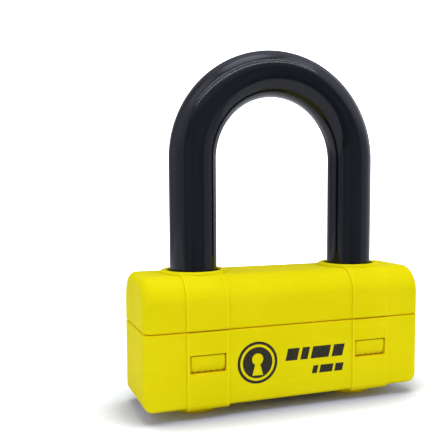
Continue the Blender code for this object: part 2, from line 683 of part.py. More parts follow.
def make_bolts(material):
    """Two bolts, each a half turn from the other. A tail reaches over the cam to one of its pins."""
    tail_end = -0.0055
    tail_root = 0.0070
    outline = [
        (BOLT_TIP, -BOLT_HALF_WIDTH),
        (BOLT_TIP, BOLT_HALF_WIDTH),
        (tail_root, BOLT_HALF_WIDTH),
        (tail_root, -GAP),
        (tail_end, -GAP),
        (tail_end, -BOLT_HALF_WIDTH),
    ]
    slot_half = CAM_PIN_RADIUS + 0.00025
    slot_low = CAM_PIN_CIRCLE * math.cos(CORE_TURN / 2) - CAM_PIN_RADIUS - GAP
    slot_high = CAM_PIN_CIRCLE + CAM_PIN_RADIUS + GAP
    slot_x = -BOLT_TRAVEL / 2
    low, high = BOLT_BOTTOM - CUT_PAST, BOLT_TOP + CUT_PAST
    for name, turn in (("right_bolt", 0.0), ("left_bolt", math.pi)):
        bolt = add_object(name, prism(outline, BOLT_BOTTOM, BOLT_TOP), material)
        slot = block((slot_x - slot_half, -slot_high, low), (slot_x + slot_half, -slot_low, high))
        tool = add_object(f"slot_of_{name}", slot)
        for obj in (bolt, tool):
            obj.rotation_euler = (0, 0, turn)
        cut(bolt, tool)


def make_cam(material):
    """Cam on top of the core: a hub and two lugs key it to the core, and two pins drive the bolts."""
    hub = 0.0064
    hub_bottom = DISC_STACK_TOP + 0.0004
    cam_top = CAM_BOTTOM + CAM_THICKNESS - 0.0002
    lug_outer = 0.0073
    profile = [(0, hub_bottom), (hub, hub_bottom), (hub, CAM_BOTTOM), (CAM_RADIUS, CAM_BOTTOM)]
    profile += [(CAM_RADIUS, cam_top), (0, cam_top)]
    cam = add_object("cam", turned(profile), material)
    for i, turn in enumerate((0, math.pi)):
        low_corner = (LUG_INNER, -LUG_HALF_WIDTH, CORE_TOP - LUG_DEPTH)
        high_corner = (lug_outer, LUG_HALF_WIDTH, CAM_BOTTOM + 0.0005)
        lug = add_object(f"cam_lug_{i}", block(low_corner, high_corner))
        lug.rotation_euler = (0, 0, turn)
        pin = cylinder(CAM_PIN_RADIUS, CAM_BOTTOM + 0.0004, BOLT_TOP - 0.0007, SMALL_ROUND)
        angle = -math.pi / 2 - CORE_TURN / 2 + turn
        place = (CAM_PIN_CIRCLE * math.cos(angle), CAM_PIN_CIRCLE * math.sin(angle), 0)
        join(cam, lug, add_object(f"cam_pin_{i}", pin, location=place))
    return cam


def make_cylinder_housing(material):
    """Steel body of the cylinder, with the groove that the sidebar drops into when the lock is locked."""
    bore = CORE_RADIUS + 0.0002
    head_seat = CORE_HEAD_RADIUS + 0.0002
    head_top = CORE_HEAD_TOP + 0.0002
    profile = [
        (head_seat, HOUSING_BOTTOM),
        (HOUSING_RADIUS - 0.0003, HOUSING_BOTTOM),
        (HOUSING_RADIUS, HOUSING_BOTTOM + 0.0003),
        (HOUSING_RADIUS, HOUSING_TOP),
        (bore, HOUSING_TOP),
        (bore, head_top),
        (head_seat, head_top),
    ]
    housing = add_object("cylinder_housing", turned(profile, hollow=True), material)
    groove_half = SIDEBAR_HALF_WIDTH + GAP
    groove_low = (0.0060, -groove_half, head_top + 0.0005)
    groove_high = (0.0094, groove_half, DISC_STACK_TOP + 0.0004)
    cut(housing, add_object("sidebar_groove", block(groove_low, groove_high)))
    past = HOUSING_RADIUS + CUT_PAST
    pin_groove = lay_along_x(cylinder(PIN_RADIUS + GAP, -past, past, SMALL_ROUND))
    cut(housing, add_object("pin_groove", pin_groove, location=(0, PIN_Y, PIN_Z)))
    return housing


def keyway_outline():
    """Half-round keyway, flat side down."""
    return arc((0, -0.0004), KEYWAY_RADIUS, 0, 180, 12)


def make_cylinder_core(material):
    """Rotating core: a cup for the discs, closed in front but for the keyway, with a slot for the sidebar."""
    face = CORE_BOTTOM + CORE_FACE_THICKNESS
    groove_radius = CLIP_INNER - 0.0002
    groove_low = CLIP_BOTTOM - 0.0001
    groove_high = CLIP_BOTTOM + CLIP_THICKNESS + 0.0002
    profile = [
        (0, CORE_BOTTOM),
        (CORE_HEAD_RADIUS, CORE_BOTTOM),
        (CORE_HEAD_RADIUS, CORE_HEAD_TOP),
        (CORE_RADIUS, CORE_HEAD_TOP),
        (CORE_RADIUS, groove_low),
        (groove_radius, groove_low),
        (groove_radius, groove_high),
        (CORE_RADIUS, groove_high),
        (CORE_RADIUS, CORE_TOP),
        (CORE_BORE_RADIUS, CORE_TOP),
        (CORE_BORE_RADIUS, face),
        (0, face),
    ]
    core = add_object("cylinder_core", turned(profile), material)
    keyway = prism(keyway_outline(), CORE_BOTTOM - CUT_PAST, face + CUT_PAST)
    slot_half = SIDEBAR_HALF_WIDTH + 0.00015
    slot = block((-slot_half, -0.0095, DISC_STACK_BOTTOM), (slot_half, -0.0050, DISC_STACK_TOP))
    cut(core, add_object("keyway", keyway), add_object("sidebar_slot", slot))
    wide = LUG_HALF_WIDTH + 0.0002
    low_corner = (LUG_INNER, -wide, CORE_TOP - LUG_DEPTH - 0.0002)
    high_corner = (CORE_RADIUS + CUT_PAST, wide, CORE_TOP + CUT_PAST)
    for i, turn in enumerate((0, math.pi)):
        notch = add_object(f"lug_notch_{i}", block(low_corner, high_corner))
        notch.rotation_euler = (0, 0, turn)
        cut(core, notch)
    return core


def make_discs(material):
    """Detainer discs, gates lined up on the sidebar. The disc's code is how far its keyhole stands turned."""
    high = DISC_THICKNESS + CUT_PAST
    gate_half = SIDEBAR_HALF_WIDTH + GAP
    gate_low = (-gate_half, -DISC_RADIUS - CUT_PAST, -CUT_PAST)
    gate_high = (gate_half, -SIDEBAR_INNER + GAP, high)
    for i, code in enumerate(DISC_CODES):
        place = (0, 0, DISC_STACK_BOTTOM + DISC_PITCH * i)
        body = cylinder(DISC_RADIUS, 0, DISC_THICKNESS)
        disc = add_object(f"detainer_disc_{i + 1}", body, material, location=place)
        keyhole = add_object(f"keyhole_{i}", prism(keyway_outline(), -CUT_PAST, high), location=place)
        keyhole.rotation_euler = (0, 0, code * DISC_CODE_STEP)
        cut(disc, keyhole, add_object(f"gate_{i}", block(gate_low, gate_high), location=place))


def make_sidebar(material):
    """Bar beside the discs, with its outer edge bevelled so that the groove pushes it in."""
    low = DISC_STACK_BOTTOM + 0.0002
    high = DISC_STACK_TOP - 0.0002
    half = SIDEBAR_HALF_WIDTH
    edge = half - 0.0004
    shoulder = -SIDEBAR_OUTER + 0.0004
    outline = [(-half, -SIDEBAR_INNER), (-half, shoulder), (-edge, -SIDEBAR_OUTER)]
    outline += [(edge, -SIDEBAR_OUTER), (half, shoulder), (half, -SIDEBAR_INNER)]
    return add_object("sidebar", prism(outline, low, high), material)


def make_core_circlip(material):
    """Open spring ring in the core's groove, above the housing."""
    outline = arc((0, 0), CLIP_OUTER, 20, 340, 32) + arc((0, 0), CLIP_INNER, 340, 20, 32)
    return add_object("core_circlip", prism(outline, CLIP_BOTTOM, CLIP_BOTTOM + CLIP_THICKNESS), material)


def make_cylinder_pin(material):
    """Cross pin that holds the cylinder in the carrier."""
    tip = 0.0003
    profile = [(0, 0), (PIN_RADIUS - tip, 0), (PIN_RADIUS, tip), (PIN_RADIUS, PIN_LENGTH), (0, PIN_LENGTH)]
    body = lay_along_x(turned(profile, SMALL_ROUND))
    return add_object("cylinder_pin", body, material, location=(PIN_START, PIN_Y, PIN_Z))


def main():
    clear_scene()
    yellow = make_material("yellow_plastic", (0.80, 0.68, 0.01), 0.45)
    black_plastic = make_material("black_plastic", (0.015, 0.015, 0.017), 0.5)
    vinyl = make_material("black_vinyl", (0.012, 0.013, 0.017), 0.3)
    hardened = make_material("hardened_steel", (0.42, 0.42, 0.43), 0.35, 1.0)
    bright = make_material("bright_steel", (0.62, 0.62, 0.63), 0.25, 1.0)
    zinc = make_material("zinc_casting", (0.50, 0.51, 0.53), 0.55, 1.0)
    brass = make_material("brass", (0.78, 0.60, 0.28), 0.3, 1.0)

    make_upper_cover(yellow)
    make_lower_cover(yellow)
    make_keyhole_frame(black_plastic)
    make_keyhole_shutter(black_plastic)
    make_casing(hardened)
    make_end_plates(hardened)
    make_shackle(hardened)
    make_sleeve(vinyl)
    make_carrier(zinc)
    make_lid(hardened, bright)
    make_bolts(hardened)
    make_cam(hardened)
    make_cylinder_housing(bright)
    make_cylinder_core(brass)
    make_discs(brass)
    make_sidebar(bright)
    make_core_circlip(bright)
    make_cylinder_pin(bright)


main()
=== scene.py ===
"""Looks of the compact U lock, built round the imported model.

The two covers, the shackle's bar and its sleeve are rebuilt here as fine meshes in the places of their CAD
pieces. Every other piece is the CAD piece with its edges broken. Sizes are in metres, in the frame of the
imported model: X from the left leg to the right leg, -Y out of the front face, Z up.
"""

import json
import math

import bmesh
import bpy
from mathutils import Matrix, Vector

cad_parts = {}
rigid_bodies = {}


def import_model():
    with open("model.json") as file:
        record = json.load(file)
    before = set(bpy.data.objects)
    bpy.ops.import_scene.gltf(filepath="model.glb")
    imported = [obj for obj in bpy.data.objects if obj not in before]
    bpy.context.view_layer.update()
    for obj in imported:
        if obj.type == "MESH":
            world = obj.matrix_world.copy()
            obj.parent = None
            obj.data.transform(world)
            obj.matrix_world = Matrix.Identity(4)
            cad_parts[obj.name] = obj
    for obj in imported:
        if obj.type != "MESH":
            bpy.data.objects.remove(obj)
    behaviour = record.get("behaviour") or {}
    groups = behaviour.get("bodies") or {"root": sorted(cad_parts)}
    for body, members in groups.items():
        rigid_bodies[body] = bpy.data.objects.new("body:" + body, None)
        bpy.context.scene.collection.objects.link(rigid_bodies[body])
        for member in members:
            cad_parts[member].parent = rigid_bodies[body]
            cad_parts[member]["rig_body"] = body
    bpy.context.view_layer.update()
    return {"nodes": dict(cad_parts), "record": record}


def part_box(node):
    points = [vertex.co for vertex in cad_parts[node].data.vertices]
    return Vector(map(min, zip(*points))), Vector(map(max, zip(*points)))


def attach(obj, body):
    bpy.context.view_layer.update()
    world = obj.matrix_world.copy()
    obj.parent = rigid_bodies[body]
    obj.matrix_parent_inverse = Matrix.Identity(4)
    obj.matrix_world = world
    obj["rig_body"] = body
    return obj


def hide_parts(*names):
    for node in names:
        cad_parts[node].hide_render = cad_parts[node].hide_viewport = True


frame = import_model()

MM = 0.001
SHARP_DEGREES = 32              # a fold sharper than this is shaded as an edge, where nothing else is said

# ---------------------------------------------------------------- sizes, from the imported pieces
LOWER_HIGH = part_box("lower_cover")[1]
UPPER_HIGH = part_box("upper_cover")[1]
SLEEVE_LOW, SLEEVE_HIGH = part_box("shackle_sleeve")
SHACKLE_LOW, SHACKLE_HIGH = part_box("shackle")

BAND_RISE = 0.5 * MM            # how far a band stands out of the covers' sides
BAND_RISE_BELOW = 0.9 * MM      # and out of the bottom face
SLEEVE_RADIUS = SLEEVE_HIGH.y
BAR_RADIUS = SHACKLE_HIGH.y
LEG_X = SLEEVE_HIGH.x - SLEEVE_RADIUS
HALF_LENGTH = LOWER_HIGH.x
HALF_DEPTH = LOWER_HIGH.y - BAND_RISE
LOOP_CENTRE = SLEEVE_HIGH.z - SLEEVE_RADIUS - LEG_X
RIM_TOP = UPPER_HIGH.z
RIM_RISE = 1.3 * MM             # how far the rims stand above the top face
COVER_TOP = RIM_TOP - RIM_RISE
COVER_BOTTOM = 5.5 * MM
SEAM = COVER_BOTTOM + 31.5 * MM
SEAM_GAP = 0.12 * MM            # narrower than between the CAD pieces, so that it reads as a moulded joint

TOP_RADIUS = 10.0 * MM          # long edges of the top face
TOP_END_RADII = (3.6 * MM, 4.2 * MM)    # its edges at the left and right ends
CORNER_RADIUS = 4.2 * MM        # upright edges
LOW_RADIUS = 1.4 * MM           # long edges of the bottom face
LOW_END_RADII = (2.8 * MM, 5.5 * MM)    # its edges at the left and right ends
SEAM_RADIUS = 0.8 * MM
WALL = 3.6 * MM
BAND_HALF_WIDTH = 8.9 * MM
BAND_STEP = 0.25 * MM           # width of the step at a band's edge

FOOT_RADIUS = 10.4 * MM
FOOT_EDGE = 0.6 * MM
RIM_BASE_RADIUS = 14.2 * MM
RIM_HOLE_RADIUS = 11.2 * MM

CAVITY_BOTTOM = COVER_BOTTOM + 2.6 * MM
CAVITY_TOP = COVER_TOP - 3.0 * MM

WINDOW_BOTTOM = COVER_BOTTOM + 14.4 * MM
WINDOW_TOP = COVER_BOTTOM + 21.9 * MM
WINDOW_HALF_WIDTH = 7.6 * MM
POCKET_HALF_WIDTH = 7.75 * MM
TONGUE_HALF_WIDTH = 7.3 * MM
TONGUE_INSIDE = HALF_DEPTH - WALL + 0.1 * MM
TONGUE_OUTSIDE = TONGUE_INSIDE + 1.6 * MM


# ---------------------------------------------------------------- mesh helpers
def new_object(name, mesh_data, sharp_degrees=SHARP_DEGREES):
    """An object of the mesh data, smooth but for its sharp edges."""
    bmesh.ops.recalc_face_normals(mesh_data, faces=mesh_data.faces)
    mesh = bpy.data.meshes.new(name)
    mesh_data.to_mesh(mesh)
    mesh_data.free()
    mesh.shade_smooth()
    mesh.set_sharp_from_angle(angle=math.radians(sharp_degrees))
    obj = bpy.data.objects.new(name, mesh)
    bpy.context.scene.collection.objects.link(obj)
    return obj


def loft(rings, closed=False):
    """Quads through rings of points, with a face over each end unless the loft closes on itself."""
    mesh_data = bmesh.new()
    loops = [[mesh_data.verts.new(point) for point in ring] for ring in rings]
    pairs = list(zip(loops, loops[1:]))
    if closed:
        pairs.append((loops[-1], loops[0]))
    for ring_a, ring_b in pairs:
        count = max(len(ring_a), len(ring_b))
        for i in range(count):
            j = (i + 1) % count
            corners = [ring_a[i % len(ring_a)], ring_a[j % len(ring_a)]]
            corners += [ring_b[j % len(ring_b)], ring_b[i % len(ring_b)]]
            corners = list(dict.fromkeys(corners))
            if len(corners) > 2:
                mesh_data.faces.new(corners)
    if not closed:
        for loop in (loops[0], loops[-1]):
            if len(loop) > 2:
                mesh_data.faces.new(loop)
    return mesh_data


def turned(profile, sides=96, centre_x=0):
    """A turned solid from (radius, height) points that start and end on the upright axis at centre_x."""
    angles = [2 * math.pi * i / sides for i in range(sides)]
    rings = []
    for radius, height in profile:
        if radius == 0:
            rings.append([(centre_x, 0, height)])
        else:
            rings.append([(centre_x + radius * math.cos(a), radius * math.sin(a), height) for a in angles])
    return loft(rings)


def arc(centre, radius, start, end, steps):
    """Points along an arc, ends included. Angles are in degrees."""
    angles = [math.radians(start + (end - start) * i / steps) for i in range(steps + 1)]
    return [(centre[0] + radius * math.cos(a), centre[1] + radius * math.sin(a)) for a in angles]


def spread(start, end, steps):
    """Evenly spread values after start, up to but not including end."""
    return [start + (end - start) * i / steps for i in range(1, steps)]


def smooth_step(value, low, high):
    t = min(max((value - low) / (high - low), 0.0), 1.0)
    return t * t * (3 - 2 * t)


def carve(target, tools):
    """Cuts or joins the tools, each a (name, mesh data, operation), and keeps only the resulting mesh."""
    solids = []
    for name, mesh_data, operation in tools:
        solids.append(new_object(name, mesh_data))
        modifier = target.modifiers.new(name, "BOOLEAN")
        modifier.operation = operation
        modifier.solver = "EXACT"
        modifier.object = solids[-1]
    bake_modifiers(target)
    for solid in solids:
        bpy.data.objects.remove(solid, do_unlink=True)


def bake_modifiers(target):
    """Gives an object the mesh that its modifiers make, and takes them off."""
    graph = bpy.context.evaluated_depsgraph_get()
    mesh = bpy.data.meshes.new_from_object(target.evaluated_get(graph))
    target.modifiers.clear()
    target.data = mesh
    mesh.shade_smooth()
    mesh.set_sharp_from_angle(angle=math.radians(SHARP_DEGREES))


def weigh_normals(obj):
    """Lets the large faces decide the shading, so that flat faces stay flat beside their rounded edges."""
    modifier = obj.modifiers.new("weighted_normals", "WEIGHTED_NORMAL")
    modifier.keep_sharp = True
    modifier.weight = 90


def stand_for(obj, node, slot):
    """The new piece takes a CAD piece's place, body and material slot."""
    body = frame["nodes"][node]["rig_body"]
    obj.data.materials.clear()
    obj.data.materials.append(MATERIALS[slot])
    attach(obj, body)
    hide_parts(node)


# ---------------------------------------------------------------- material helpers
class Tree:
    """Short forms for the few shader nodes that the materials and the world use."""

    def __init__(self, tree, space="Object"):
        self.nodes = tree.nodes
        self.links = tree.links
        self.place = self.nodes.new("ShaderNodeTexCoord").outputs[space]

    def feed(self, socket, value):
        """Links a socket to another node's output, or sets its value."""
        if isinstance(value, bpy.types.NodeSocket):
            self.links.new(value, socket)
        else:
            socket.default_value = value

    def stretch(self, scale, vector=None):
        node = self.nodes.new("ShaderNodeMapping")
        node.inputs["Scale"].default_value = scale
        self.links.new(vector or self.place, node.inputs["Vector"])
        return node.outputs["Vector"]

    def noise(self, scale, detail, roughness=0.5, vector=None):
        node = self.nodes.new("ShaderNodeTexNoise")
        node.inputs["Scale"].default_value = scale
        node.inputs["Detail"].default_value = detail
        node.inputs["Roughness"].default_value = roughness
        self.links.new(vector or self.place, node.inputs["Vector"])
        return node.outputs["Fac"]

    def drawn_noise(self, scale, detail, roughness, vector=None):
        """Noise drawn out into streaks along the axes with the small scales."""
        return self.noise(1, detail, roughness, self.stretch(scale, vector))

    def cells(self, scale):
        node = self.nodes.new("ShaderNodeTexVoronoi")
        node.inputs["Scale"].default_value = scale
        self.links.new(self.place, node.inputs["Vector"])
        return node.outputs["Distance"]

    def span(self, value, low, high, to_low=0.0, to_high=1.0):
        """Maps a value from one range to another, held at the ends."""
        node = self.nodes.new("ShaderNodeMapRange")
        node.interpolation_type = "SMOOTHSTEP"
        for name, number in (("From Min", low), ("From Max", high), ("To Min", to_low), ("To Max", to_high)):
            node.inputs[name].default_value = number
        self.links.new(value, node.inputs["Value"])
        return node.outputs["Result"]

    def math(self, operation, a, b=0.0):
        node = self.nodes.new("ShaderNodeMath")
        node.operation = operation
        self.feed(node.inputs[0], a)
        self.feed(node.inputs[1], b)
        return node.outputs[0]

    def times(self, a, b):
        return self.math("MULTIPLY", a, b)

    def gap(self, a, b):
        """How far apart two numbers are."""
        return self.math("ABSOLUTE", self.math("SUBTRACT", a, b))

    def mix(self, factor, a, b):
        """Mixes two colours."""
        node = self.nodes.new("ShaderNodeMix")
        node.data_type = "RGBA"
        self.feed(node.inputs["Factor"], factor)
        for name, colour in (("A", a), ("B", b)):
            socket = next(s for s in node.inputs if s.name == name and s.type == "RGBA")
            self.feed(socket, colour if isinstance(colour, bpy.types.NodeSocket) else (*colour, 1.0))
        return next(s for s in node.outputs if s.type == "RGBA")

    def lay(self, under, over, mask, strength):
        """Lays a colour over another one where the mask is high."""
        return self.mix(self.times(mask, strength), under, over)

    def specks(self, scale, low, high, cluster_scale):
        """Small round specks in loose clusters."""
        dots = self.span(self.cells(scale), low, high, 1.0, 0.0)
        return self.times(dots, self.span(self.noise(cluster_scale, 2), 0.60, 0.66))

    def part_of_place(self, axis):
        node = self.nodes.new("ShaderNodeSeparateXYZ")
        self.links.new(self.place, node.inputs[0])
        return node.outputs[axis]

    def bump(self, height, distance, strength, under=None):
        node = self.nodes.new("ShaderNodeBump")
        node.inputs["Distance"].default_value = distance
        node.inputs["Strength"].default_value = strength
        self.links.new(height, node.inputs["Height"])
        if under:
            self.links.new(under, node.inputs["Normal"])
        return node.outputs["Normal"]


class Graph(Tree):
    """The nodes of one surface material."""

    def __init__(self, name, **values):
        self.material = bpy.data.materials.new(name)
        self.material.use_nodes = True
        super().__init__(self.material.node_tree)
        self.shader = self.nodes["Principled BSDF"]
        for socket, value in values.items():
            self.shader.inputs[socket.replace("_", " ")].default_value = value

    def finish(self, colour, roughness, normal=None):
        self.feed(self.shader.inputs["Base Color"], colour)
        self.feed(self.shader.inputs["Roughness"], roughness)
        if normal:
            self.feed(self.shader.inputs["Normal"], normal)
        return self.material


# ---------------------------------------------------------------- materials
def from_joint(g, height, from_leg):
    """Distance to the nearest seam, window edge or band step. The last two count as further than they are."""
    past_side = g.math("SUBTRACT", from_leg, WINDOW_HALF_WIDTH)
    from_middle = g.gap(height, (WINDOW_BOTTOM + WINDOW_TOP) / 2)
    past_end = g.math("SUBTRACT", from_middle, (WINDOW_TOP - WINDOW_BOTTOM) / 2)
    from_window = g.math("ABSOLUTE", g.math("MAXIMUM", past_side, past_end))
    from_step = g.gap(from_leg, BAND_HALF_WIDTH + 0.1 * MM)
    nearest = g.gap(height, SEAM)
    for distance, extra in ((from_window, 0.12 * MM), (from_step, 0.42 * MM)):
        nearest = g.math("MINIMUM", nearest, g.math("ADD", g.times(distance, 1.8), extra))
    return nearest


def yellow_plastic():
    """Satin moulded plastic: cloudy pigment, grain, light rubs, and painted shade along the joints and steps.
    """
    g = Graph("yellow_plastic", Specular_IOR_Level=0.003)
    height = g.part_of_place("Z")
    from_leg = g.gap(g.math("ABSOLUTE", g.part_of_place("X")), LEG_X)
    cloud = g.span(g.noise(38, 4, 0.55), 0.35, 0.65)
    colour = g.mix(cloud, (0.603, 0.522, 0.0024), (0.634, 0.550, 0.0038))
    flow = g.span(g.drawn_noise((25, 60, 160), 3, 0.6), 0.50, 0.80)
    colour = g.lay(colour, (0.78, 0.69, 0.010), flow, 0.15)
    # Painted light: the feet are coloured lighter and more orange than the cover, standing in for the light
    # that reaches them under the body.
    painted_feet_light = g.span(height, FOOT_EDGE, COVER_BOTTOM, 1.0, 0.0)
    colour = g.mix(painted_feet_light, colour, (0.96, 0.70, 0.004))
    # Painted shade: an orange-brown darkening along the seam, the window edges and the band steps, where the
    # gaps and steps lie in shade.
    painted_joint_shade = g.span(from_joint(g, height, from_leg), 0.0, 0.8 * MM, 1.0, 0.0)
    painted_joint_shade = g.times(painted_joint_shade, g.span(g.noise(700, 3), 0.3, 0.7, 0.45, 1.0))
    colour = g.lay(colour, (0.66, 0.36, 0.003), painted_joint_shade, 0.80)
    # Painted highlight: a pale line just inside each band's edge, standing in for the light caught by the
    # band's rounded edge.
    from_crest = g.gap(from_leg, BAND_HALF_WIDTH - 0.45 * MM)
    painted_crest_highlight = g.span(from_crest, 0.10 * MM, 0.45 * MM, 0.38, 0.0)
    colour = g.mix(painted_crest_highlight, colour, (0.73, 0.63, 0.008))
    colour = g.lay(colour, (0.42, 0.33, 0.02), g.specks(420, 0.030, 0.05, 60), 0.35)
    rub = g.span(g.drawn_noise((55, 400, 900), 5, 0.7), 0.64, 0.74)
    colour = g.lay(colour, (0.88, 0.80, 0.06), rub, 0.12)
    roughness = g.math("ADD", g.span(g.noise(120, 4), 0.3, 0.7, 0.38, 0.46), g.times(rub, 0.10))
    grain = g.bump(g.noise(3800, 3, 0.6), 0.012 * MM, 0.55)
    sink = g.bump(g.noise(55, 2, 0.4), 0.10 * MM, 0.20, grain)
    return g.finish(colour, roughness, sink)


def black_vinyl():
    """Extruded vinyl: draw lines along the bar, broad dull streaks, dust flecks and a fine orange peel."""
    g = Graph("black_vinyl", Specular_IOR_Level=0.22)
    along = g.nodes.new("ShaderNodeUVMap")
    along.uv_map = "along"
    lines = along.outputs["UV"]
    streak = g.span(g.drawn_noise((9, 1.2, 1), 3, 0.55, lines), 0.35, 0.68)
    colour = g.mix(streak, (0.0030, 0.0034, 0.0058), (0.0058, 0.0064, 0.0100))
    colour = g.lay(colour, (0.11, 0.10, 0.07), g.specks(520, 0.04, 0.07, 90), 0.55)
    dust = g.span(g.noise(210, 5, 0.7), 0.55, 0.80)
    colour = g.lay(colour, (0.035, 0.036, 0.038), dust, 0.08)
    roughness = g.math("ADD", g.times(streak, 0.04), g.span(g.noise(300, 4), 0.3, 0.7, 0.07, 0.11))
    draw = g.bump(g.drawn_noise((60, 2.5, 1), 4, 0.6, lines), 0.03 * MM, 0.16)
    peel = g.bump(g.noise(650, 2, 0.4), 0.02 * MM, 0.05, draw)
    return g.finish(colour, roughness, peel)


def black_plastic():
    """Fine grained, with pale rub marks."""
    g = Graph("black_plastic")
    cloud = g.noise(300, 4, 0.6)
    colour = g.mix(g.span(cloud, 0.35, 0.7), (0.012, 0.012, 0.013), (0.022, 0.022, 0.023))
    rub = g.span(g.drawn_noise((1800, 250, 900), 5, 0.7), 0.62, 0.75)
    colour = g.lay(colour, (0.075, 0.075, 0.075), rub, 0.5)
    grain = g.bump(g.noise(5200, 2, 0.6), 0.02 * MM, 0.6)
    return g.finish(colour, g.span(cloud, 0.3, 0.7, 0.44, 0.56), grain)


def ink():
    """Pad print: near black and slightly uneven, with the yellow showing through where it is worn."""
    g = Graph("print_ink", Specular_IOR_Level=0.12)
    cloud = g.noise(900, 4, 0.65)
    colour = g.mix(g.span(cloud, 0.35, 0.7), (0.016, 0.014, 0.008), (0.027, 0.024, 0.013))
    worn = g.span(g.noise(1500, 5, 0.75), 0.66, 0.72)
    colour = g.lay(colour, (0.60, 0.51, 0.02), worn, 0.8)
    return g.finish(colour, g.span(cloud, 0.3, 0.7, 0.38, 0.52), g.bump(cloud, 0.01 * MM, 0.5))


def steel(name, dark, light, roughness, grind, stain=None):
    """Metal with grinding marks along one direction, blotches of heat or oil, and small scratches."""
    g = Graph(name, Metallic=1.0)
    marks = g.drawn_noise(grind, 6, 0.75)
    blotch = g.noise(130, 4, 0.6)
    colour = g.mix(g.span(blotch, 0.3, 0.72), dark, light)
    if stain:
        colour = g.lay(colour, stain, g.span(g.noise(70, 5, 0.7), 0.52, 0.72), 0.55)
    scratch = g.span(g.drawn_noise((3200, 240, 420), 4, 0.8), 0.68, 0.73)
    colour = g.lay(colour, (0.78, 0.78, 0.78), scratch, 0.5)
    blotched = g.span(blotch, 0.3, 0.7, roughness, roughness + 0.08)
    ground = g.math("ADD", g.span(marks, 0.25, 0.75, -0.06, 0.08), blotched)
    return g.finish(colour, ground, g.bump(marks, 0.02 * MM, 0.45))


def zinc_casting():
    """Die casting: mottled grey, with pores and a grained skin."""
    g = Graph("zinc_casting", Metallic=0.9)
    blotch = g.noise(160, 5, 0.65)
    colour = g.mix(g.span(blotch, 0.3, 0.7), (0.30, 0.305, 0.32), (0.46, 0.465, 0.48))
    unpitted = g.span(g.cells(1900), 0.05, 0.16)
    colour = g.mix(g.math("SUBTRACT", 1.0, unpitted), colour, (0.16, 0.16, 0.17))
    skin = g.bump(g.noise(2600, 4, 0.6), 0.03 * MM, 0.5)
    return g.finish(colour, g.span(blotch, 0.3, 0.7, 0.48, 0.62), g.bump(unpitted, 0.04 * MM, 0.5, skin))


def pale_floor():
    """Matt white card, with a grey drop shadow close to whatever stands on it."""
    reach = 34 * MM
    g = Graph("pale_floor", Specular_IOR_Level=0.0)
    near = g.nodes.new("ShaderNodeAmbientOcclusion")
    near.inputs["Distance"].default_value = reach
    near.samples = 12
    openness = near.outputs["AO"]
    white = g.mix(g.noise(14, 3), (0.92, 0.92, 0.90), (0.95, 0.95, 0.93))
    shade = g.mix(g.span(openness, 0.15, 0.55), (0.68, 0.69, 0.94), (0.33, 0.33, 0.36))
    return g.finish(g.mix(g.span(openness, 0.35, 1.0), shade, white), 0.9)


MATERIALS = {
    "yellow_plastic": yellow_plastic(),
    "black_vinyl": black_vinyl(),
    "black_plastic": black_plastic(),
    "hardened_steel": steel(
        "hardened_steel",
        dark=(0.20, 0.20, 0.21),
        light=(0.36, 0.36, 0.365),
        roughness=0.30,
        grind=(120, 120, 2600),
        stain=(0.20, 0.13, 0.08),
    ),
    "bright_steel": steel(
        "bright_steel",
        dark=(0.52, 0.52, 0.53),
        light=(0.66, 0.66, 0.66),
        roughness=0.20,
        grind=(150, 150, 3000),
    ),
    "brass": steel(
        "brass",
        dark=(0.56, 0.39, 0.15),
        light=(0.74, 0.55, 0.24),
        roughness=0.24,
        grind=(200, 2400, 200),
        stain=(0.35, 0.20, 0.07),
    ),
    "zinc_casting": zinc_casting(),
}


# ---------------------------------------------------------------- covers
def end_inset(x, radii, half_length=HALF_LENGTH):
    """How far a rounded end has drawn in at x. radii are the left and the right end's."""
    radius = radii[x > 0]
    past = abs(x) - (half_length - radius)
    if past <= 0:
        return 0.0
    return radius - math.sqrt(max(radius**2 - past**2, 0.0))


def end_stations(half_length, reach, steps):
    """Places along X up to a rounded end, closer together towards it."""
    return [half_length - reach * (1 - math.sin(math.pi / 2 * i / steps)) for i in range(steps + 1)]


def section(half_depth, low, high, low_radius, high_radius):
    """The back half of a cover's section, from the middle of its bottom to that of its top.

    Each point is (y, z, normal y, normal z).
    """
    points = [(0.0, low, 0.0, -1.0)]
    points += [(y, low, 0.0, -1.0) for y in spread(0.0, half_depth - low_radius, 7)]
    corners = ((low + low_radius, low_radius, -90, 6), (high - high_radius, high_radius, 0, 14))
    for centre_z, radius, start, fine_steps in corners:
        centre_y = half_depth - radius
        steps = fine_steps if radius > MM else 5
        for y, z in arc((centre_y, centre_z), radius, start, start + 90, steps):
            normal = Vector((y - centre_y, z - centre_z)).normalized()
            points.append((y, z, normal.x, normal.y))
        if start < 0:
            points += [(half_depth, z, 1.0, 0.0) for z in spread(low + low_radius, high - high_radius, 9)]
    points += [(y, high, 0.0, 1.0) for y in spread(half_depth - high_radius, 0.0, 7)]
    points.append((0.0, high, 0.0, 1.0))
    return points


def band_swell(x):
    """1 on a band, 0 off it, with a smooth step between."""
    away = abs(abs(x) - LEG_X)
    return 1.0 - smooth_step(away, BAND_HALF_WIDTH, BAND_HALF_WIDTH + BAND_STEP)


def stations():
    """Places along X: close together on the rounded ends and at the bands' edges."""
    spacing = 3.2 * MM
    closest = 0.02 * MM
    half = end_stations(HALF_LENGTH, max(*TOP_END_RADII, *LOW_END_RADII, CORNER_RADIUS), 22)
    for edge, way in ((LEG_X - BAND_HALF_WIDTH, -1), (LEG_X + BAND_HALF_WIDTH, 1)):
        half += [edge + way * BAND_STEP * (i - 1) / 4 for i in range(7)]
    half += [spacing * i for i in range(1, int(LEG_X / spacing) + 5)]
    half = sorted(x for x in half if x <= HALF_LENGTH)
    kept = [half[0]]
    for x in half[1:]:
        if x - kept[-1] > closest:
            kept.append(x)
    return [-x for x in reversed(kept)] + [0.0] + kept


